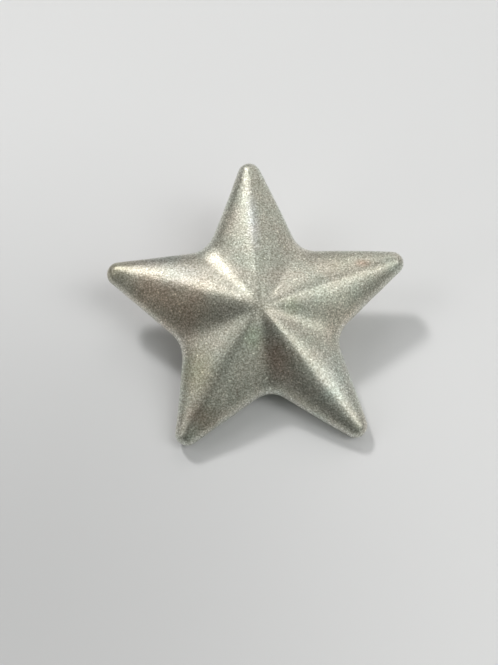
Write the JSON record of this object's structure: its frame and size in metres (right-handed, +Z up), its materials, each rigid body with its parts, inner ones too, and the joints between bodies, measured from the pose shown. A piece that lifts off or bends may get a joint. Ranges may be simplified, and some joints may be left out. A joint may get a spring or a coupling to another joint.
{
  "type": "star ornament",
  "caption": "Solid cast five-pointed star with a raised ridge along each arm, soft valleys between the arms and a rounded rim, the same front and back.",
  "frame": {"origin": "middle of the bounding box, on the floor that the star rests on", "axes": "+Z up, +Y along the raised arm, +X to the right arm, with X = 0 the mirror plane; the star rests on the back ridges of the two arms towards -Y"},
  "size_m": [0.0602, 0.0554, 0.0192],
  "materials": {
    "star": "satin"
  },
  "bodies": {
    "root": {"star": "star"}
  },
  "joints": []
}
